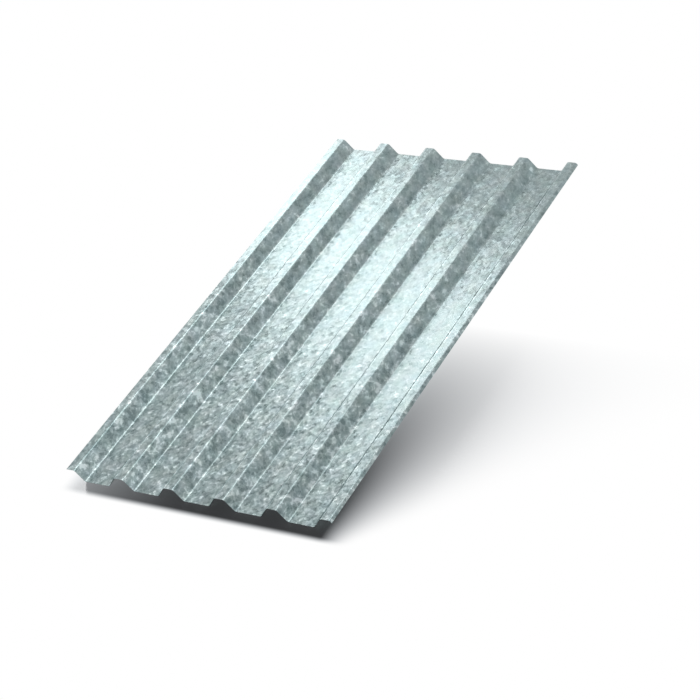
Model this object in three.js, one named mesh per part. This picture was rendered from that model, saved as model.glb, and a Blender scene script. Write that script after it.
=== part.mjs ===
// Trapezoidal-profile sheet of galvanised steel, roll-formed in one piece and cut to length.
//
// Millimetres, +Z up. The ribs run along Y, the cover width along X. The sheet lies on the
// undersides of its five wide valleys, so Z = 0 is the floor. The origin is the middle of the
// sheet's base. The edge at -X is lapped under the next sheet. The edge at +X is lapped over
// it, and ends in a narrow lip that is turned down to stiffen it.

import * as THREE from 'three';

// Driving dimensions.
const SHEET_LENGTH = 2000;
const STEEL_THICKNESS = 0.7;
const PROFILE_DEPTH = 44;        // floor to the top of a rib, over the metal
const RIB_PITCH = 200;           // rib to rib, and so valley to valley
const VALLEY_COUNT = 5;          // five pitches make the 1000 mm cover width
const VALLEY_WIDTH = 99;         // wide lower flange, between the sharp corners of its bends
const CROWN_WIDTH = 36;          // narrow upper flange of a rib, corner to corner
const UNDERLAP_WIDTH = 31;       // upper flange at the -X edge, corner to cut edge
const OVERLAP_WIDTH = 34;        // upper flange at the +X edge, corner to corner
const LIP_LENGTH = 11;           // turned-down lip, along its slope, corner to cut edge
const BEND_RADIUS = 12;          // of the steel's middle layer, the same at every bend
const BEND_STEPS = 6;            // flat facets around one bend

// The finish of hot-dip zinc.
const ZINC_COLOUR = new THREE.Color().setRGB(0.56, 0.63, 0.63, THREE.SRGBColorSpace);
const ZINC_ROUGHNESS = 0.42;
const ZINC_METALNESS = 1.0;

// Worked-out sizes.
const WEB_RUN = (RIB_PITCH - VALLEY_WIDTH - CROWN_WIDTH) / 2;
const VALLEY_LEVEL = STEEL_THICKNESS / 2;
const CROWN_LEVEL = PROFILE_DEPTH - STEEL_THICKNESS / 2;
const WEB_SLOPE = Math.atan2(CROWN_LEVEL - VALLEY_LEVEL, WEB_RUN);
const LIP_RUN = LIP_LENGTH * Math.cos(WEB_SLOPE);
const LIP_DROP = LIP_LENGTH * Math.sin(WEB_SLOPE);
const OVERALL_WIDTH = UNDERLAP_WIDTH + WEB_RUN + (VALLEY_COUNT - 1) * RIB_PITCH
  + VALLEY_WIDTH + WEB_RUN + OVERLAP_WIDTH + LIP_RUN
  + (STEEL_THICKNESS / 2) * Math.sin(WEB_SLOPE);

// The sharp corners of the steel's middle layer, from the -X cut edge to the +X cut edge.
function foldLine() {
  const corners = [];
  let x = -OVERALL_WIDTH / 2;
  corners.push(new THREE.Vector2(x, CROWN_LEVEL));
  x += UNDERLAP_WIDTH;
  for (let valley = 1; valley <= VALLEY_COUNT; valley += 1) {
    corners.push(new THREE.Vector2(x, CROWN_LEVEL));
    x += WEB_RUN;
    corners.push(new THREE.Vector2(x, VALLEY_LEVEL));
    x += VALLEY_WIDTH;
    corners.push(new THREE.Vector2(x, VALLEY_LEVEL));
    x += WEB_RUN;
    corners.push(new THREE.Vector2(x, CROWN_LEVEL));
    x += valley < VALLEY_COUNT ? CROWN_WIDTH : OVERLAP_WIDTH;
  }
  corners.push(new THREE.Vector2(x, CROWN_LEVEL));
  corners.push(new THREE.Vector2(x + LIP_RUN, CROWN_LEVEL - LIP_DROP));
  return corners;
}

// A place on the middle layer, with the direction that points out of the sheet's upper face.
function station(point, heading) {
  return { point, upward: new THREE.Vector2(-Math.sin(heading), Math.cos(heading)) };
}

// The stations around one bend: an arc that touches the straight lines before and after it.
function bendStations(before, corner, after) {
  const headingIn = corner.clone().sub(before).angle();
  const headingOut = after.clone().sub(corner).angle();
  const turn = Math.atan2(Math.sin(headingOut - headingIn), Math.cos(headingOut - headingIn));
  const setback = BEND_RADIUS * Math.tan(Math.abs(turn) / 2);
  const side = Math.sign(turn);
  const start = corner.clone().add(
    new THREE.Vector2(-setback * Math.cos(headingIn), -setback * Math.sin(headingIn)),
  );
  const centre = start.clone().add(
    new THREE.Vector2(-side * BEND_RADIUS * Math.sin(headingIn), side * BEND_RADIUS * Math.cos(headingIn)),
  );
  const stations = [];
  for (let step = 0; step <= BEND_STEPS; step += 1) {
    const heading = headingIn + (turn * step) / BEND_STEPS;
    const spoke = new THREE.Vector2(Math.sin(heading), -Math.cos(heading));
    stations.push(station(centre.clone().addScaledVector(spoke, side * BEND_RADIUS), heading));
  }
  return stations;
}

// The whole cross-section: the middle layer with half the steel's thickness on either side.
function sectionShape() {
  const corners = foldLine();
  const stations = [station(corners[0], 0)];
  for (let i = 1; i < corners.length - 1; i += 1) {
    stations.push(...bendStations(corners[i - 1], corners[i], corners[i + 1]));
  }
  stations.push(station(corners[corners.length - 1], -WEB_SLOPE));
  const face = (offset) => stations.map(
    ({ point, upward }) => point.clone().addScaledVector(upward, offset),
  );
  const lowerFace = face(-STEEL_THICKNESS / 2);
  const upperFace = face(STEEL_THICKNESS / 2);
  return new THREE.Shape([...lowerFace, ...upperFace.reverse()]);
}

function zincMaterial() {
  return new THREE.MeshStandardMaterial({
    name: 'galvanised_zinc',
    color: ZINC_COLOUR,
    roughness: ZINC_ROUGHNESS,
    metalness: ZINC_METALNESS,
  });
}

// The section is drawn in X and Y, drawn out along Z, and then tipped up to stand in X and Z.
function profiledSheet() {
  const geometry = new THREE.ExtrudeGeometry(sectionShape(), {
    depth: SHEET_LENGTH,
    steps: 1,
    bevelEnabled: false,
  });
  const sheet = new THREE.Mesh(geometry, zincMaterial());
  sheet.name = 'profiled_sheet';
  sheet.rotation.x = Math.PI / 2;
  sheet.position.y = SHEET_LENGTH / 2;
  return sheet;
}

const corrugatedSheet = new THREE.Group();
corrugatedSheet.add(profiledSheet());

export default corrugatedSheet;
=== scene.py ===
# %% [markdown]
# # A trapezoidal sheet of galvanised steel
#
# Roof and wall sheets like this one start as flat zinc-coated coil. Rollers fold the
# coil, a little at a time, into wide valleys and narrow ribs, and a shear cuts it to
# length. This notebook builds one such sheet around a fixed CAD model of it.
# Everything is in metres: X runs across the ribs, Y along them, and Z is up.

# %% Load the CAD model as the fixed frame
import math
from collections import namedtuple

import bpy
from mathutils import Matrix, Quaternion, Vector


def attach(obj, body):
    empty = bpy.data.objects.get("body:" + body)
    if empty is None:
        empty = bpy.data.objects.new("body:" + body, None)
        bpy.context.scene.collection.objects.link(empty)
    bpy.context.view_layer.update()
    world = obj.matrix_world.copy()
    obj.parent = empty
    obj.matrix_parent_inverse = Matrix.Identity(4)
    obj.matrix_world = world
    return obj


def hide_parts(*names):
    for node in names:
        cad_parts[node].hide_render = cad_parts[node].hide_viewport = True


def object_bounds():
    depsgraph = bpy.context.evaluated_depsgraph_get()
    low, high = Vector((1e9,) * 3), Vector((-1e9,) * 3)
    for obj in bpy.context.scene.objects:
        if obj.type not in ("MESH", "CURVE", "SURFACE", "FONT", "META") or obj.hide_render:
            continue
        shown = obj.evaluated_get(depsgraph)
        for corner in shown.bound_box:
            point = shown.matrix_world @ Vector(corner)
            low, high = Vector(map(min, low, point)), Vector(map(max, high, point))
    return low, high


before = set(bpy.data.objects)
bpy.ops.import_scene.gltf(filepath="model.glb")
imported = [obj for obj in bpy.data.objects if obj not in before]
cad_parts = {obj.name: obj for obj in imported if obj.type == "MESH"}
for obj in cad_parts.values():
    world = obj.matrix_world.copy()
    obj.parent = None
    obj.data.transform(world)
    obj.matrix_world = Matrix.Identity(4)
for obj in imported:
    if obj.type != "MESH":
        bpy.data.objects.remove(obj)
cad_low, cad_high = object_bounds()
SHEET_WIDTH = cad_high.x - cad_low.x
SHEET_LENGTH = cad_high.y - cad_low.y
SHEET_DEPTH = cad_high.z - cad_low.z
print(f"frame: {SHEET_WIDTH:.3f} wide, {SHEET_LENGTH:.3f} long, {SHEET_DEPTH:.3f} deep")

# %% [markdown]
# ## The camera
#
# A sheet is much longer than it is wide, so a long lens from well back keeps its two
# ends at nearly the same scale. The camera is placed from the point on the floor that
# it aims at: how far round, how high up and how far back. A last turn about its own
# line of sight tips the picture, so that the sheet runs corner to corner.

# %% Place the camera
AIM_POINT = Vector((0.1328, -0.1551, 0.0))
CAMERA_ROUND = math.radians(36.918)
CAMERA_UP = math.radians(36.470)
CAMERA_BACK = 7.7580
CAMERA_TIP = math.radians(-15.356)
LENS_MM = 114.496

away = Vector((
    math.sin(CAMERA_ROUND) * math.cos(CAMERA_UP),
    -math.cos(CAMERA_ROUND) * math.cos(CAMERA_UP),
    math.sin(CAMERA_UP),
))
camera = bpy.data.objects.new("camera", bpy.data.cameras.new("camera"))
bpy.context.scene.collection.objects.link(camera)
camera.data.lens = LENS_MM
camera.location = AIM_POINT + away * CAMERA_BACK
camera.rotation_mode = "QUATERNION"
camera.rotation_quaternion = (
    (-away).to_track_quat("-Z", "Y") @ Quaternion((0, 0, 1), CAMERA_TIP)
)
bpy.context.scene.camera = camera
bpy.context.scene.view_settings.view_transform = "Standard"
print("camera at", [round(v, 3) for v in camera.location])

# %% [markdown]
# ## Small helpers for node trees
#
# Every finish below is a tree of shader nodes. Nodes can be added one by one with a
# line for each input, but then a recipe fills pages. These short helpers keep each
# recipe readable: they add a node and fill it in, do arithmetic, and mix colours.

# %% Node helpers
def add_node(tree, kind, inputs=None, **settings):
    """Adds a node, sets its options, then links or fills each named input."""
    node = tree.nodes.new("ShaderNode" + kind)
    for name, value in settings.items():
        setattr(node, name, value)
    for name, value in (inputs or {}).items():
        if isinstance(value, bpy.types.NodeSocket):
            tree.links.new(value, node.inputs[name])
        else:
            node.inputs[name].default_value = value
    return node


def maths(tree, operation, first, second=0.0, clamp=False):
    """One arithmetic step, giving its result."""
    node = add_node(tree, "Math", {0: first, 1: second}, operation=operation)
    node.use_clamp = clamp
    return node.outputs[0]


def vector_maths(tree, operation, first, second=(0.0, 0.0, 0.0)):
    """One step of arithmetic on vectors, giving its result."""
    node = add_node(tree, "VectorMath", {0: first, 1: second}, operation=operation)
    return node.outputs["Vector"]


def remap(tree, value, low, high, to_low=0.0, to_high=1.0, curve="SMOOTHSTEP"):
    """Stretches one range of a value onto another, held at both ends."""
    inputs = {
        "Value": value,
        "From Min": low,
        "From Max": high,
        "To Min": to_low,
        "To Max": to_high,
    }
    node = add_node(tree, "MapRange", inputs, interpolation_type=curve)
    return node.outputs["Result"]


def mix_colours(tree, factor, first, second, blend="MIX"):
    """Mixes two colours by a factor."""
    node = add_node(tree, "Mix", data_type="RGBA", blend_type=blend)
    sockets = [s for s in node.inputs if s.enabled]
    for socket, value in zip(sockets, (factor, first, second)):
        if isinstance(value, bpy.types.NodeSocket):
            tree.links.new(value, socket)
        else:
            socket.default_value = value
    return next(s for s in node.outputs if s.enabled)


def new_material(name):
    """An empty material with a Principled shader wired to its output."""
    material = bpy.data.materials.new(name)
    material.use_nodes = True
    tree = material.node_tree
    tree.nodes.clear()
    shader = add_node(tree, "BsdfPrincipled")
    output = add_node(tree, "OutputMaterial")
    tree.links.new(shader.outputs["BSDF"], output.inputs["Surface"])
    return material, tree, shader


print("six helpers for node trees are ready")

# %% [markdown]
# ## The floor
#
# Bare metal has no colour of its own to speak of: it shows its surroundings. A white
# studio gives it clean grey tones, and a light table gives a white floor without more
# light on the metal. The table has a pale grey top, which takes the shadow of the sheet
# like any floor, and its glow covers all of it but the place where a shadow is wanted.
# There the glow is turned down: fully under the near right corner, less and less along
# the sheet, to the left, and in a fan that opens out to the right.

# %% Where the table glows
FAN_AT_CORNER = 0.173
FAN_LEAST = 0.120
FAN_WIDENS = 1.05
FAN_STARTS_INSIDE = 0.031
FAN_STARTS_AT_EDGE = 0.80
GLOW_ALONG = (-0.455, 1.065)
GLOW_ALONG_POWER = 3.0
GLOW_BEFORE_END = (-0.034, -0.065)
GLOW_TO_LEFT = (0.011, -0.455)
GLOW_AT_LEFT = 0.235
GLOW_PAST_LEFT = (-0.450, -0.532)


def looked_at(tree):
    """1 for rays that come from the eye, or from a mirror or glass, and 0 for light."""
    path = add_node(tree, "LightPath").outputs
    seen = maths(tree, "MAXIMUM", path["Is Camera Ray"], path["Is Glossy Ray"])
    return maths(tree, "MAXIMUM", seen, path["Is Transmission Ray"])


def fan_of_shade(tree, across, along):
    """0 at the right-hand edge of the sheet, rising to 1 at the rim of the fan. At the
    near corner the fan starts a little under the sheet."""
    inside = remap(
        tree, along, 0.0, FAN_STARTS_AT_EDGE, FAN_STARTS_INSIDE, 0.0, curve="LINEAR"
    )
    beside = maths(tree, "SUBTRACT", across, cad_high.x)
    beside = maths(tree, "ADD", beside, inside)
    reach = maths(tree, "MULTIPLY", along, FAN_WIDENS)
    reach = maths(tree, "ADD", reach, FAN_AT_CORNER)
    reach = maths(tree, "MAXIMUM", reach, FAN_LEAST)
    return maths(tree, "DIVIDE", beside, reach, clamp=True)


def table_glow(tree):
    """How brightly the table glows, 0 to 1. Each ramp takes a share of the shade away."""
    place = add_node(tree, "TexCoord").outputs["Object"]
    place = add_node(tree, "SeparateXYZ", {"Vector": place}).outputs
    along = maths(tree, "SUBTRACT", place["Y"], cad_low.y)
    fan = fan_of_shade(tree, place["X"], along)
    soft_fan = remap(tree, fan, 0.0, 1.0)
    up_sheet = remap(tree, along, *GLOW_ALONG, curve="LINEAR")
    up_sheet = maths(tree, "POWER", up_sheet, GLOW_ALONG_POWER)
    to_left = remap(tree, place["X"], *GLOW_TO_LEFT, curve="LINEAR")
    to_left = maths(tree, "MULTIPLY", to_left, to_left)
    to_left = maths(tree, "MULTIPLY", to_left, GLOW_AT_LEFT)
    past_left = remap(tree, place["X"], *GLOW_PAST_LEFT)
    before_end = remap(tree, along, *GLOW_BEFORE_END)
    shade = 1.0
    for ramp in (fan, soft_fan, up_sheet, to_left, past_left, before_end):
        shade = maths(tree, "MULTIPLY", maths(tree, "SUBTRACT", 1.0, ramp), shade)
    return maths(tree, "SUBTRACT", 1.0, shade)


print(f"the shade opens out to {FAN_AT_CORNER + FAN_WIDENS:.2f} m, 1 m along the sheet")

# %% The table
FLOOR_RADIUS = 40.0
FLOOR_SIDES = 96
TABLE_TOP = (0.50, 0.50, 0.50, 1.0)
GLOW_TINT = (0.920, 0.960, 1.0, 1.0)
WHITE = (1.0, 1.0, 1.0, 1.0)


def studio_floor():
    """A wide round floor, level with the lowest point of the sheet."""
    mesh = bpy.data.meshes.new("floor")
    turns = [2 * math.pi * i / FLOOR_SIDES for i in range(FLOOR_SIDES)]
    rim = [(FLOOR_RADIUS * math.cos(a), FLOOR_RADIUS * math.sin(a), 0.0) for a in turns]
    mesh.from_pydata(rim, [], [list(range(FLOOR_SIDES))])
    floor = bpy.data.objects.new("floor", mesh)
    bpy.context.scene.collection.objects.link(floor)
    material, tree, shader = new_material("light_table")
    shader.inputs["Base Color"].default_value = TABLE_TOP
    shader.inputs["Roughness"].default_value = 1.0
    shader.inputs["Specular IOR Level"].default_value = 0.0
    glow = table_glow(tree)
    tint = mix_colours(tree, glow, GLOW_TINT, WHITE)
    glow = maths(tree, "MULTIPLY", glow, looked_at(tree))
    table = add_node(tree, "Emission", {"Color": tint, "Strength": 1.0}).outputs[0]
    mixed = add_node(tree, "MixShader", {0: glow, 1: shader.outputs[0], 2: table})
    output = next(n for n in tree.nodes if n.type == "OUTPUT_MATERIAL")
    tree.links.new(mixed.outputs[0], output.inputs["Surface"])
    mesh.materials.append(material)
    return floor


studio_floor()
print(f"the floor reaches {FLOOR_RADIUS:.0f} m every way")

# %% [markdown]
# ## The world and the key light
#
# The world is plain white to the eye and in reflections. For matt surfaces it gives
# only a little soft light from overhead, which keeps shadows from going black. A low
# key lamp rakes in from behind the far left corner, so the sheet throws its shadow to
# the right and towards the eye, and the ribs stay dark inside.

# %% White world and key light
SKY_SEEN = 1.0
SKY_LOW = 0.0
SKY_OVERHEAD = 0.068
SKY_TINT = (0.96, 0.98, 1.05, 1.0)
KEY_FROM = Vector((-0.6427, 0.7645, 0.0488))
KEY_ANGLE = math.radians(10.0)
KEY_ON_FLOOR = 0.98


def studio_world():
    """White to the eye and to glossy rays, brightest overhead for matt surfaces."""
    world = bpy.data.worlds.new("white_studio")
    bpy.context.scene.world = world
    world.use_nodes = True
    tree = world.node_tree
    tree.nodes.clear()
    place = add_node(tree, "TexCoord").outputs["Generated"]
    height = add_node(tree, "SeparateXYZ", {"Vector": place}).outputs["Z"]
    shed = remap(tree, height, 0.0, 1.0, SKY_LOW, SKY_OVERHEAD, curve="LINEAR")
    seen = looked_at(tree)
    strength = maths(tree, "MULTIPLY", shed, maths(tree, "SUBTRACT", 1.0, seen))
    strength = maths(tree, "ADD", strength, maths(tree, "MULTIPLY", seen, SKY_SEEN))
    tint = mix_colours(tree, seen, SKY_TINT, WHITE)
    colour = {"Color": tint, "Strength": strength}
    background = add_node(tree, "Background", colour)
    output = add_node(tree, "OutputWorld")
    tree.links.new(background.outputs[0], output.inputs["Surface"])


def key_light():
    """A low distant lamp that rakes over the floor. The metal doesn't mirror it."""
    data = bpy.data.lights.new("key_light", "SUN")
    data.angle = KEY_ANGLE
    steepness = KEY_FROM.normalized().z
    data.energy = KEY_ON_FLOOR * math.pi / steepness
    lamp = bpy.data.objects.new("key_light", data)
    bpy.context.scene.collection.objects.link(lamp)
    lamp.rotation_mode = "QUATERNION"
    lamp.rotation_quaternion = (-KEY_FROM).to_track_quat("-Z", "Y")
    lamp.visible_camera = False
    lamp.visible_glossy = False


studio_world()
key_light()
key_height = math.degrees(math.asin(KEY_FROM.normalized().z))
print(f"key light: {key_height:.1f} degrees up, {math.degrees(KEY_ANGLE):.0f} across")

# %% [markdown]
# ## Softboxes, placed by reflection
#
# A lamp shines on metal only where the camera sees it mirrored. So each softbox is
# placed by picking a spot on the sheet, bouncing the line of sight off it, and going
# out along the bounced line. One softbox is mirrored in the flat valleys and ribs
# and lays a broad bright band over them. The other is mirrored only in the rounded
# bends at the near end, and draws a fine bright line down each of them. Both are kept
# off matt surfaces, so the floor has one shadow only.

# %% Softboxes
def bounced(spot, tilt):
    """The line of sight to a spot, bounced off a face tilted across the sheet."""
    sight = (spot - camera.location).normalized()
    normal = Vector((math.sin(tilt), 0.0, math.cos(tilt)))
    return sight.reflect(normal)


def softbox(name, spot, tilt, distance, width, height, strength, turn=0.0):
    """A soft rectangular lamp that the camera sees mirrored at a spot on the sheet.
    A strength of 1 is as bright as the white world."""
    data = bpy.data.lights.new(name, "AREA")
    data.shape = "RECTANGLE"
    data.size = width
    data.size_y = height
    data.energy = math.pi * width * height * strength
    lamp = bpy.data.objects.new(name, data)
    bpy.context.scene.collection.objects.link(lamp)
    direction = bounced(spot, tilt)
    lamp.location = spot + direction * distance
    lamp.rotation_mode = "QUATERNION"
    facing = (-direction).to_track_quat("-Z", "Y")
    lamp.rotation_quaternion = facing @ Quaternion((0, 0, 1), turn)
    lamp.visible_camera = False
    lamp.visible_diffuse = False
    print(f"{name} at", [round(v, 2) for v in lamp.location])
    return lamp


softbox(
    "band_softbox",
    spot=Vector((-0.10, 0.265, 0.0)),
    tilt=0.0,
    distance=2.05,
    width=0.80,
    height=2.50,
    strength=2.75,
    turn=math.radians(23.0),
)
softbox(
    "line_softbox",
    spot=Vector((0.0, -1.15, 0.0)),
    tilt=math.radians(21.0),
    distance=6.0,
    width=2.90,
    height=1.50,
    strength=2.3,
)

# %% [markdown]
# ## The folded section
#
# Seen from its end the sheet is one thin line folded between two levels: the valleys,
# which lie on the floor, and the ribs. The right-hand edge ends in a narrow lip that is
# turned down to stiffen it. The sheet could be modelled flat and bent by a modifier,
# but a folding machine works the way the next cell does: it walks along the strip, goes
# straight for a while, then turns through a small radius. The walk keeps the distance
# covered, which is where each point was on the flat strip, and the finish needs that.

# %% Driving sizes of the section
STEEL = 0.0007
BEND_RADIUS = 0.012
BEND_STEPS = 10
RIB_PITCH = 0.200
VALLEYS = 5
VALLEY_FLAT = 0.099
RIB_TOP = 0.036
UNDERLAP = 0.031
OVERLAP = 0.034
LIP = 0.011
WEB_RUN = (RIB_PITCH - VALLEY_FLAT - RIB_TOP) / 2
HAIR = 1e-6
WIDEST_STEP = 0.016
LOW = cad_low.z + STEEL / 2 + HAIR
HIGH = cad_high.z - STEEL / 2 - HAIR
WEB_SLOPE = math.atan2(HIGH - LOW, WEB_RUN)
print(f"webs slope at {math.degrees(WEB_SLOPE):.1f} degrees and run {WEB_RUN * 1000:.1f} mm")

# %% Walk along the strip
# A station is a stop on the walk: where it is, which way the walk is heading, how far
# it has come, how free the steel is to bow there, and how far into a bend it is.
Station = namedtuple("Station", "place heading walked bow bent")


def fold_corners():
    """The sharp corners of the middle of the steel, from edge to edge."""
    x = cad_low.x
    corners = [Vector((x, HIGH))]
    x += UNDERLAP
    for valley in range(VALLEYS):
        corners.append(Vector((x, HIGH)))
        corners.append(Vector((x + WEB_RUN, LOW)))
        x += WEB_RUN + VALLEY_FLAT
        corners.append(Vector((x, LOW)))
        x += WEB_RUN
        corners.append(Vector((x, HIGH)))
        x += RIB_TOP if valley < VALLEYS - 1 else OVERLAP
    corners.append(Vector((x, HIGH)))
    lip = Vector((math.cos(WEB_SLOPE), -math.sin(WEB_SLOPE))) * (LIP - 2 * HAIR)
    corners.append(corners[-1] + lip)
    return corners


def flat_stations(start, end, heading, walked):
    """Stations along one flat. Its bow is 0 at both ends, and more where it is wide."""
    length = (end - start).length
    slack = min(1.0, length / VALLEY_FLAT)
    steps = math.ceil(length / WIDEST_STEP)
    shares = [i / steps for i in range(steps + 1)]
    return [
        Station(start.lerp(end, t), heading, walked + length * t, 4 * t * (1 - t) * slack, 0.0)
        for t in shares
    ]


def walk_section(corners):
    """The stations along the folded strip, and how long the walk was."""
    stations = []
    walked = 0.0
    here = corners[0]
    for before, corner, after in zip(corners, corners[1:], corners[2:]):
        along = (corner - before).normalized()
        leaving = (after - corner).normalized()
        turn = math.atan2(along.cross(leaving), along.dot(leaving))
        heading = math.atan2(along.y, along.x)
        stop = corner - along * BEND_RADIUS * math.tan(abs(turn) / 2)
        stations += flat_stations(here, stop, heading, walked)[:-1]
        walked += (stop - here).length
        side = math.copysign(BEND_RADIUS, turn)
        pivot = stop + Vector((-along.y, along.x)) * side
        for i in range(BEND_STEPS):
            share = i / BEND_STEPS
            swept = turn * share
            spot = pivot + Matrix.Rotation(swept, 2) @ (stop - pivot)
            arc = BEND_RADIUS * abs(swept)
            bent = math.sin(math.pi * share)
            stations.append(Station(spot, heading + swept, walked + arc, 0.0, bent))
        walked += BEND_RADIUS * abs(turn)
        here = pivot + Matrix.Rotation(turn, 2) @ (stop - pivot)
    stations += flat_stations(here, corners[-1], -WEB_SLOPE, walked)
    return stations, stations[-1].walked


stations, STRIP_WIDTH = walk_section(fold_corners())
print(f"{len(stations)} stations, and the flat strip was {STRIP_WIDTH * 1000:.0f} mm wide")

# %% [markdown]
# ## The sheet as a mesh
#
# The strip is given its two faces, half a thickness to each side of the middle line,
# and drawn out along Y in rows. A plain extrusion would be dead flat, which steel this
# thin never is: each flat is drawn in or out by a few tenths of a millimetre, in long
# shallow waves, so that reflections in it wander a little. Valleys only rise and ribs
# only sink, so the sheet still fits the CAD model's box.

# %% Shallow waves in the flats
ROWS = 100
SLACK = 0.00030
LONG_WAVE = 0.83
LONG_SKEW = 21.0
LONG_SWING = 0.3
SHORT_WAVE = 0.37
SHORT_SKEW = -34.0
SHORT_SWING = 0.2
NEARLY_LEVEL = 0.01


def slackness(across, y):
    """How far the steel gives way at one place, from 0 to 1."""
    long_swing = math.sin(2 * math.pi * y / LONG_WAVE + LONG_SKEW * across)
    short_swing = math.sin(2 * math.pi * y / SHORT_WAVE + SHORT_SKEW * across)
    return 0.5 + LONG_SWING * long_swing + SHORT_SWING * short_swing


def give(station, y):
    """How far a station of a flat stands off its true line, along its upper normal."""
    level = abs(station.heading) < NEARLY_LEVEL
    on_floor = level and station.place.y < SHEET_DEPTH / 2
    inward = 1.0 if on_floor else -1.0
    return inward * SLACK * station.bow * slackness(station.walked, y)


print(f"flats give way by up to {SLACK * 1000:.1f} mm")

# %% Points and faces
def sheet_points(stations):
    """Rows of points from the near end to the far end, upper skin first, then lower."""
    points = []
    for side in (1.0, -1.0):
        for row in range(ROWS + 1):
            y = cad_low.y + SHEET_LENGTH * row / ROWS
            for station in stations:
                normal = Vector((-math.sin(station.heading), math.cos(station.heading)))
                spot = station.place + normal * (side * STEEL / 2 + give(station, y))
                points.append((spot.x, y, spot.y))
    return points


def skin_faces(count):
    """Quads of the upper skin, then of the lower skin, facing outwards."""
    under = (ROWS + 1) * count
    corners = [row * count + i for row in range(ROWS) for i in range(count - 1)]
    upper = [(a, a + 1, a + count + 1, a + count) for a in corners]
    lower = [tuple(under + corner for corner in reversed(face)) for face in upper]
    return upper + lower


def rim_faces(count):
    """Quads that close the near, far, left and right cut edges, one list for each."""
    under = (ROWS + 1) * count
    far = ROWS * count
    right = count - 1
    rows = [row * count for row in range(ROWS)]
    return [
        [(i, under + i, under + i + 1, i + 1) for i in range(right)],
        [(far + i, far + i + 1, under + far + i + 1, under + far + i) for i in range(right)],
        [(a, a + count, under + a + count, under + a) for a in rows],
        [
            (a + right, under + a + right, under + a + right + count, a + right + count)
            for a in rows
        ],
    ]


print(f"each skin has {ROWS + 1} rows of {len(stations)} points")

# %% [markdown]
# ## Maps and marks
#
# The mesh carries two maps. The first lays the strip out flat in real metres, and the
# finish is drawn on it. The second packs both skins and the cut edges side by side
# into one square with nothing overlapping, for anyone who bakes the finish to an image.
# Four marks tell the finish where it is: how far into a bend, on which shoulder of a
# rib, how steeply the steel slopes, and whether this is the underside. The finish could
# work these out from the shape, but marks are exact and cost nothing.

# %% Lay the strip out flat
BAKE_UPPER = (0.004, 0.660)
BAKE_LOWER = (0.670, 0.964)
BAKE_RIMS = (0.974, 0.998)
BAKE_RIM_WIDTH = 0.004
BAKE_ALONG = (0.004, 0.996)
MARKS = ("bend", "crest", "slope", "underside")


def place_in_map(low, high, share):
    """The place a given share of the way from one edge to another."""
    return low + (high - low) * share


def draw_maps(mesh, stations):
    """Fills the map in metres and the map for baking."""
    count = len(stations)
    under = (ROWS + 1) * count
    metres = mesh.uv_layers.new(name="flat_strip")
    square = mesh.uv_layers.new(name="OFBake")
    skins = 2 * ROWS * (count - 1)
    ends = skins + 2 * (count - 1)
    for face in mesh.polygons:
        for loop in face.loop_indices:
            vertex = mesh.loops[loop].vertex_index
            below = vertex >= under
            row, i = divmod(vertex - under * below, count)
            across = stations[i].walked
            along = row / ROWS
            metres.uv[loop].vector = (across, along * SHEET_LENGTH)
            if face.index < skins:
                edges = BAKE_LOWER if below else BAKE_UPPER
                u = place_in_map(*edges, across / STRIP_WIDTH)
                v = place_in_map(*BAKE_ALONG, along)
            else:
                rim = (face.index - skins) // (count - 1)
                if face.index >= ends:
                    rim = 2 + (face.index - ends) // ROWS
                u = place_in_map(*BAKE_RIMS, rim / 4) + BAKE_RIM_WIDTH * below
                v = place_in_map(*BAKE_ALONG, across / STRIP_WIDTH if rim < 2 else along)
            square.uv[loop].vector = (u, v)


def draw_marks(mesh, stations):
    """Fills the marks for bends, left-hand shoulders of ribs, slopes and the underside."""
    count = len(stations)
    under = (ROWS + 1) * count
    for mark in MARKS:
        mesh.attributes.new(mark, "FLOAT", "POINT")
    bend, crest, slope, underside = (mesh.attributes[mark] for mark in MARKS)
    for vertex in range(len(mesh.vertices)):
        station = stations[vertex % under % count]
        bend.data[vertex].value = station.bent
        on_rib = station.place.y > SHEET_DEPTH / 2
        rise = max(0.0, station.heading) / WEB_SLOPE
        crest.data[vertex].value = 2 * station.bent * rise * on_rib
        slope.data[vertex].value = abs(station.heading) / WEB_SLOPE
        underside.data[vertex].value = float(vertex >= under)


print("marks:", ", ".join(MARKS))

# %% Build the sheet
SHARP_FOLD = math.radians(60.0)


def folded_sheet(stations):
    """The whole sheet as one closed mesh."""
    skins = skin_faces(len(stations))
    rims = [face for rim in rim_faces(len(stations)) for face in rim]
    mesh = bpy.data.meshes.new("zinc_sheet")
    mesh.from_pydata(sheet_points(stations), [], skins + rims)
    for face in mesh.polygons[len(skins):]:
        face.material_index = 1
    mesh.shade_smooth()
    mesh.set_sharp_from_angle(angle=SHARP_FOLD)
    draw_maps(mesh, stations)
    draw_marks(mesh, stations)
    piece = bpy.data.objects.new("zinc_sheet", mesh)
    bpy.context.scene.collection.objects.link(piece)
    piece.modifiers.new("flats_stay_flat", "WEIGHTED_NORMAL").keep_sharp = True
    return piece


sheet = folded_sheet(stations)
print(f"zinc_sheet: {2 * len(sheet.data.polygons)} triangles")

# %% [markdown]
# ## The zinc: its spangle
#
# Hot-dip zinc freezes into crystals, called spangle. Each leans its own way, so it
# catches the light on its own, and each is feathered with fine branches. The pattern
# was on the flat strip before the folding, so it is drawn in the strip's own
# coordinates and runs over the bends unbroken. An image would have to be large to stay
# sharp over two metres, so the pattern is made of textures instead: Voronoi cells give
# crystals and smaller flecks once noise has pushed their straight borders about, and
# more noise gives grain, bright veins, clouds and feathering.

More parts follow.
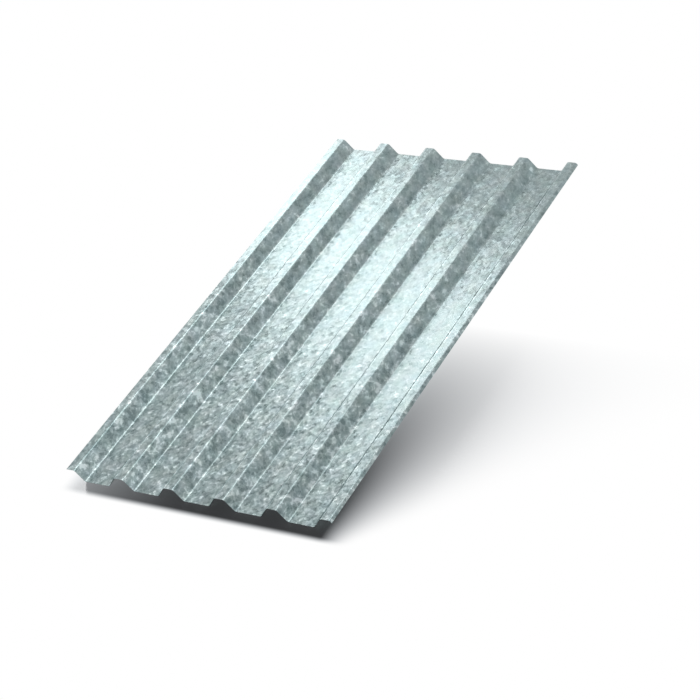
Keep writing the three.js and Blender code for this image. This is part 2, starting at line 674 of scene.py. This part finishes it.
# %% Building blocks of the spangle
CRYSTAL = 0.0185
FLECK = 0.0105
BORDER_SOFTNESS = 0.50
BORDER_DRIFT = 0.006
DRIFT_SIZE = CRYSTAL * 0.7
GRAIN = 0.022
VEIN = 0.026
VEIN_WIDTH = 0.075
PATCH = 0.050
CLOUD = 0.11
BRANCH_ACROSS = 0.0016
BRANCH_ALONG = 0.008
ACROSS_TO_ALONG = 0.78
UNDERSIDE_SHIFT = (2.7, 0.4, 0.0)
HALVES = (0.5, 0.5, 0.5)
ONES = (1.0, 1.0, 1.0)


def noise(tree, place, size, detail=2.0, roughness=0.5):
    """Soft noise with blots of about a given size: a value, and a colour."""
    inputs = {"Vector": place, "Scale": 1 / size, "Detail": detail, "Roughness": roughness}
    node = add_node(tree, "TexNoise", inputs, noise_dimensions="2D")
    return node.outputs["Fac"], node.outputs["Color"]


def pushed_about(tree, place, size, push):
    """The place, moved a little this way and that by noise."""
    drift = noise(tree, place, size)[1]
    drift = vector_maths(tree, "SUBTRACT", drift, HALVES)
    drift = vector_maths(tree, "MULTIPLY", drift, (push, push, 0.0))
    return vector_maths(tree, "ADD", place, drift)


def crystals(tree, place, size):
    """Voronoi cells with soft borders, each with its own random colour."""
    cells = {"Vector": place, "Scale": 1 / size, "Smoothness": BORDER_SOFTNESS}
    kind = {"voronoi_dimensions": "2D", "feature": "SMOOTH_F1"}
    return add_node(tree, "TexVoronoi", cells, **kind).outputs["Color"]


def feathering(tree, place, dice):
    """Fine branches that run their own way in each crystal."""
    turn = maths(tree, "MULTIPLY", dice, 2 * math.pi)
    turned = add_node(
        tree, "VectorRotate", {"Vector": place, "Angle": turn}, rotation_type="Z_AXIS"
    ).outputs["Vector"]
    stretch = (1 / BRANCH_ACROSS, 1 / BRANCH_ALONG, 1.0)
    stretched = vector_maths(tree, "MULTIPLY", turned, stretch)
    return noise(tree, stretched, 1.0, roughness=0.6)[0]


def veins(tree, place):
    """Bright wandering lines, where noise crosses its middle value."""
    level = noise(tree, place, VEIN, detail=1.5)[0]
    off_line = maths(tree, "ABSOLUTE", maths(tree, "SUBTRACT", level, 0.5))
    return remap(tree, off_line, 0.0, VEIN_WIDTH, 1.0, 0.0)


print(f"crystals are about {CRYSTAL * 1000:.0f} mm long, and flecks {FLECK * 1000:.0f} mm")

# %% Lay the spangle on the strip
Zinc = namedtuple("Zinc", "across along slope place drifted crystal fleck feather")


def mark(tree, name):
    """One of the marks that the mesh carries."""
    return add_node(tree, "Attribute", attribute_name=name).outputs["Fac"]


def red_and_green(tree, colour):
    """The red and green parts of a colour, for use as dice."""
    parts = add_node(tree, "SeparateColor", {"Color": colour}).outputs
    return parts["Red"], parts["Green"]


def zinc_layers(tree):
    """Where each point lies on the flat strip, and the spangle there. The crystals are
    a little longer along the strip than across it, and the underside has its own."""
    strip = add_node(tree, "UVMap", uv_map="flat_strip").outputs["UV"]
    below = mark(tree, "underside")
    shift = add_node(tree, "CombineXYZ", {"X": below, "Y": below}).outputs["Vector"]
    shift = vector_maths(tree, "MULTIPLY", shift, UNDERSIDE_SHIFT)
    place = vector_maths(tree, "ADD", strip, shift)
    place = vector_maths(tree, "MULTIPLY", place, (1 / ACROSS_TO_ALONG, 1.0, 1.0))
    drifted = pushed_about(tree, place, DRIFT_SIZE, BORDER_DRIFT)
    crystal = crystals(tree, drifted, CRYSTAL)
    fleck = crystals(tree, drifted, FLECK)
    feather = feathering(tree, place, red_and_green(tree, crystal)[1])
    apart = add_node(tree, "SeparateXYZ", {"Vector": strip}).outputs
    slope = mark(tree, "slope")
    return Zinc(apart["X"], apart["Y"], slope, place, drifted, crystal, fleck, feather)


print(f"crystals are {ACROSS_TO_ALONG:.0%} as wide as they are long")

# %% [markdown]
# ## The zinc: its tone
#
# All the layers are added up, each with its own weight, into one tone from dark to
# light. Working the steel opens up its spangle, so the webs get bolder crystals and
# patches. The contrast fades towards the far end, where the eye takes in more crystals
# at once. The tone then picks from four greys, and the brightest crystals end up nearly
# white. One ramp between two greys would be simpler, but then bright crystals would be
# as common as dark ones, and on real zinc they stand out alone.

# %% Tone and greys
CRYSTAL_WEIGHT = 0.28
GRAIN_WEIGHT = 0.34
VEIN_WEIGHT = 0.15
CLOUD_WEIGHT = 0.08
COARSE_MIDDLE = 0.368
FLECK_WEIGHT = 0.30
FEATHER_WEIGHT = 0.04
FINE_MIDDLE = 0.170
PATCH_MIDDLE = 0.45
BOLD_ON_SLOPES = 1.4
BOLD_AT_NEAR_END = 1.05
BOLD_AT_FAR_END = 0.57
FADING_STRETCH = (0.1, 2.2)
ZINC_DARK = (0.150, 0.196, 0.199, 1.0)
ZINC_MID = (0.268, 0.330, 0.333, 1.0)
ZINC_LIGHT = (0.385, 0.457, 0.461, 1.0)
ZINC_BRIGHT = (0.640, 0.715, 0.720, 1.0)
DARK_TO_MID = (0.20, 0.50)
MID_TO_LIGHT = (0.50, 0.75)
LIGHT_TO_BRIGHT = (0.68, 0.95)


def weighted_sum(tree, *terms):
    """Adds values up, each with its own weight."""
    total = 0.0
    for value, weight in terms:
        total = maths(tree, "ADD", maths(tree, "MULTIPLY", value, weight), total)
    return total


def zinc_tone(tree, zinc):
    """The tone of the spangle, from 0 for dark to 1 for bright, with its middle at 0.5."""
    crystal_dice = red_and_green(tree, zinc.crystal)[0]
    fleck_dice = red_and_green(tree, zinc.fleck)[0]
    grain = noise(tree, zinc.drifted, GRAIN, detail=1.0)[0]
    cloud = noise(tree, zinc.place, CLOUD, detail=3.0)[0]
    coarse = weighted_sum(
        tree,
        (crystal_dice, CRYSTAL_WEIGHT),
        (grain, GRAIN_WEIGHT),
        (veins(tree, zinc.drifted), VEIN_WEIGHT),
        (cloud, CLOUD_WEIGHT),
    )
    coarse = maths(tree, "SUBTRACT", coarse, COARSE_MIDDLE)
    fine = weighted_sum(tree, (fleck_dice, FLECK_WEIGHT), (zinc.feather, FEATHER_WEIGHT))
    fine = maths(tree, "SUBTRACT", fine, FINE_MIDDLE)
    worked = remap(tree, zinc.slope, 0.0, 1.0, 1.0, BOLD_ON_SLOPES)
    patch = noise(tree, zinc.drifted, PATCH, detail=1.0)[0]
    patch = maths(tree, "SUBTRACT", patch, PATCH_MIDDLE)
    patch = maths(tree, "MULTIPLY", patch, zinc.slope)
    tone = maths(tree, "ADD", maths(tree, "MULTIPLY", coarse, worked), fine)
    tone = maths(tree, "ADD", tone, patch)
    bold = remap(tree, zinc.along, *FADING_STRETCH, BOLD_AT_NEAR_END, BOLD_AT_FAR_END)
    return maths(tree, "ADD", maths(tree, "MULTIPLY", tone, bold), 0.5)


def grey_of(tree, tone):
    """The grey for each tone."""
    lower = remap(tree, tone, *DARK_TO_MID, curve="LINEAR")
    upper = remap(tree, tone, *MID_TO_LIGHT, curve="LINEAR")
    top = remap(tree, tone, *LIGHT_TO_BRIGHT)
    grey = mix_colours(tree, lower, ZINC_DARK, ZINC_MID)
    grey = mix_colours(tree, upper, grey, ZINC_LIGHT)
    return mix_colours(tree, top, grey, ZINC_BRIGHT)


print(f"contrast fades to {BOLD_AT_FAR_END / BOLD_AT_NEAR_END:.0%} at the far end")

# %% [markdown]
# ## The zinc: its drift of colour, and painted light and shade
#
# Zinc isn't even. Its colour wanders a little in patches as wide as a hand. Near the
# near end, the left shoulders of the ribs get painted light, which lifts the dark line
# of reflection there, and the sheet gets painted light to the left and painted shade
# to the right. The far end gets a little painted shade. Each is a factor close to 1 that
# multiplies the grey, so none of them hides the spangle as a layer painted over it would.

# %% Drift of colour, painted light and painted shade
TINT_PATCH = 0.065
TINT_SPREAD = (0.12, 0.02, 0.09)
# Painted shade tint: the slopes are a little cooler, as the webs look in their shade.
SHADE_TINT_ON_SLOPES = (-0.025, 0.0, 0.004)
# Painted light on the left shoulders of the ribs near the near end.
SHOULDER_PAINTED_LIGHT = 0.70
SHOULDER_LIGHT_UP_TO = (0.55, 0.95)
# Painted shade that darkens the far end a little.
FAR_END_PAINTED_SHADE = 0.965
FAR_END_SHADE_FROM = (1.55, 1.95)
# Painted light to the left and painted shade to the right, near the near end.
PAINTED_LIGHT_ACROSS = (0.120, -0.085)
PAINTED_LIGHT_ACROSS_UP_TO = (0.6, 1.1)


def in_all_three(tree, value):
    """One value in all three parts of a vector."""
    return add_node(tree, "CombineXYZ", {"X": value, "Y": value, "Z": value}).outputs[0]


def drift_of_colour(tree, zinc):
    """A colour close to white that wanders slowly, with a painted shade tint on slopes."""
    tint = noise(tree, zinc.place, TINT_PATCH, detail=1.0)[1]
    tint = vector_maths(tree, "SUBTRACT", tint, HALVES)
    tint = vector_maths(tree, "MULTIPLY", tint, TINT_SPREAD)
    # The slopes get a painted shade tint.
    slope_shade_tint = in_all_three(tree, zinc.slope)
    slope_shade_tint = vector_maths(tree, "MULTIPLY", slope_shade_tint, SHADE_TINT_ON_SLOPES)
    tint = vector_maths(tree, "ADD", tint, slope_shade_tint)
    return vector_maths(tree, "ADD", tint, ONES)


def painted_light_and_shade(tree, zinc):
    """Painted light and shade at each place, as a factor near 1."""
    # Painted light on the left shoulders, which lifts the dark line of reflection there.
    shoulder_light = remap(tree, zinc.along, *SHOULDER_LIGHT_UP_TO, SHOULDER_PAINTED_LIGHT, 0.0)
    shoulder_light = maths(tree, "MULTIPLY", mark(tree, "crest"), shoulder_light)
    # Painted shade towards the far end.
    far_end_shade = remap(tree, zinc.along, *FAR_END_SHADE_FROM, 1.0, FAR_END_PAINTED_SHADE)
    # Painted light to the left and painted shade to the right, fading along the sheet.
    light_across = remap(tree, zinc.across, 0.0, STRIP_WIDTH, *PAINTED_LIGHT_ACROSS, curve="LINEAR")
    light_across = maths(tree, "MULTIPLY", light_across, remap(tree, zinc.along, *PAINTED_LIGHT_ACROSS_UP_TO, 1.0, 0.0))
    light_and_shade = maths(tree, "ADD", shoulder_light, 1.0)
    light_and_shade = maths(tree, "MULTIPLY", light_and_shade, far_end_shade)
    return maths(tree, "MULTIPLY", light_and_shade, maths(tree, "ADD", light_across, 1.0))


# How far the painted light on the shoulders reaches.
print(f"shoulders get painted light up to {SHOULDER_LIGHT_UP_TO[1]:.2f} m from the near end")

# %% [markdown]
# ## The zinc: its gloss and the lean of its crystals
#
# Light crystals are a little more matt than dark ones, and the rollers polish the
# bends to a gloss of their own. Each crystal also leans its own way, which tips what it
# mirrors, and feathering gives it a fine relief. A bump texture alone could lean the
# crystals too, but only at their borders. Their own dice lean all of each crystal.

# %% Gloss and lean
GLOSSY = 0.25
MATT = 0.45
GLOSS_TONES = (0.20, 0.80)
BURNISHED = 0.30
BEND_POLISH = 0.8
LEAN_AT_NEAR_END = 0.065
LEAN_AT_FAR_END = 0.115
RELIEF_STRENGTH = 0.25
RELIEF_DEPTH = 0.0002


def zinc_roughness(tree, tone):
    """Rougher where the tone is lighter, and drawn towards burnished in the bends."""
    roughness = remap(tree, tone, *GLOSS_TONES, GLOSSY, MATT, curve="LINEAR")
    polish = maths(tree, "MULTIPLY", mark(tree, "bend"), BEND_POLISH)
    to_burnished = maths(tree, "SUBTRACT", BURNISHED, roughness)
    polish = maths(tree, "MULTIPLY", polish, to_burnished)
    return maths(tree, "ADD", roughness, polish)


def zinc_relief(tree, zinc):
    """The normal of the skin, leaned crystal by crystal, with feathering in relief."""
    facing = add_node(tree, "NewGeometry").outputs["Normal"]
    lean = vector_maths(tree, "ADD", zinc.crystal, zinc.fleck)
    lean = vector_maths(tree, "SUBTRACT", lean, ONES)
    steepness = remap(
        tree, zinc.along, *FADING_STRETCH, LEAN_AT_NEAR_END, LEAN_AT_FAR_END
    )
    lean = vector_maths(tree, "MULTIPLY", lean, in_all_three(tree, steepness))
    leaning = vector_maths(tree, "NORMALIZE", vector_maths(tree, "ADD", facing, lean))
    relief = {
        "Height": zinc.feather,
        "Normal": leaning,
        "Strength": RELIEF_STRENGTH,
        "Distance": RELIEF_DEPTH,
    }
    return add_node(tree, "Bump", relief).outputs["Normal"]


def zinc_material():
    """Galvanised steel: spangle in its tone, its gloss and the lean of its crystals."""
    material, tree, shader = new_material("zinc_spangle")
    zinc = zinc_layers(tree)
    tone = zinc_tone(tree, zinc)
    factor = drift_of_colour(tree, zinc)
    light_and_shade = in_all_three(tree, painted_light_and_shade(tree, zinc))
    factor = vector_maths(tree, "MULTIPLY", factor, light_and_shade)
    colour = vector_maths(tree, "MULTIPLY", grey_of(tree, tone), factor)
    tree.links.new(colour, shader.inputs["Base Color"])
    tree.links.new(zinc_roughness(tree, tone), shader.inputs["Roughness"])
    tree.links.new(zinc_relief(tree, zinc), shader.inputs["Normal"])
    shader.inputs["Metallic"].default_value = 1.0
    return material


sheet.data.materials.append(zinc_material())
print("nodes in the zinc:", len(sheet.data.materials[0].node_tree.nodes))

# %% [markdown]
# ## The cut edges
#
# The shear leaves a bare edge that is bright where it was cut and grey where it tore,
# with fine marks across the thickness. At 0.7 mm it is only a hairline, so noise that
# changes quickly along the edge is all it needs.

# %% Cut-edge material
EDGE_MARKS_PER_METRE = 900.0
EDGE_DARK = (0.16, 0.19, 0.19, 1.0)
EDGE_BRIGHT = (0.34, 0.39, 0.39, 1.0)
EDGE_MARK_LEVELS = (0.3, 0.7)
EDGE_ROUGHNESS = (0.35, 0.6)


def cut_edge_material():
    """Sheared steel with fine marks across the edge."""
    material, tree, shader = new_material("sheared_edge")
    place = add_node(tree, "TexCoord").outputs["Object"]
    marks = {"Vector": place, "Scale": EDGE_MARKS_PER_METRE, "Detail": 3.0}
    marks = add_node(tree, "TexNoise", marks).outputs["Fac"]
    colour = mix_colours(tree, marks, EDGE_DARK, EDGE_BRIGHT)
    tree.links.new(colour, shader.inputs["Base Color"])
    roughness = remap(tree, marks, *EDGE_MARK_LEVELS, *EDGE_ROUGHNESS, curve="LINEAR")
    tree.links.new(roughness, shader.inputs["Roughness"])
    shader.inputs["Metallic"].default_value = 1.0
    return material


sheet.data.materials.append(cut_edge_material())
print("finishes:", [m.name for m in sheet.data.materials])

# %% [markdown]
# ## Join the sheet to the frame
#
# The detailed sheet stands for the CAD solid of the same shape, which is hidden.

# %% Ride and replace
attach(sheet, "root")
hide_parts("profiled_sheet")
